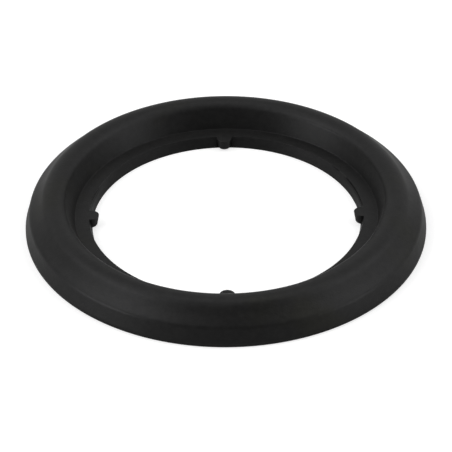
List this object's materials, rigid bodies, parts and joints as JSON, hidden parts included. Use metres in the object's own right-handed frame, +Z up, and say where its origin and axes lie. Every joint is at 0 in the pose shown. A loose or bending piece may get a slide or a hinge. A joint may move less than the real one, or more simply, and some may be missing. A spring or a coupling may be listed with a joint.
{
  "type": "waste plug washer",
  "caption": "Moulded black rubber ring for a sink waste plug: tall rounded rim round a low flat seat, sloping outer face, and locating nibs in the hole.",
  "frame": {"origin": "centre of the flat underside, on the ring's axis", "axes": "+Z up along the ring's axis, from the underside to the crest of the rim; the four nibs lie on +X, +Y, -X and -Y"},
  "size_m": [0.078, 0.078, 0.0072],
  "materials": {
    "black_rubber": "matt moulded black rubber with a fine satin grain"
  },
  "bodies": {
    "root": {"plug_washer": "black_rubber"}
  },
  "joints": []
}
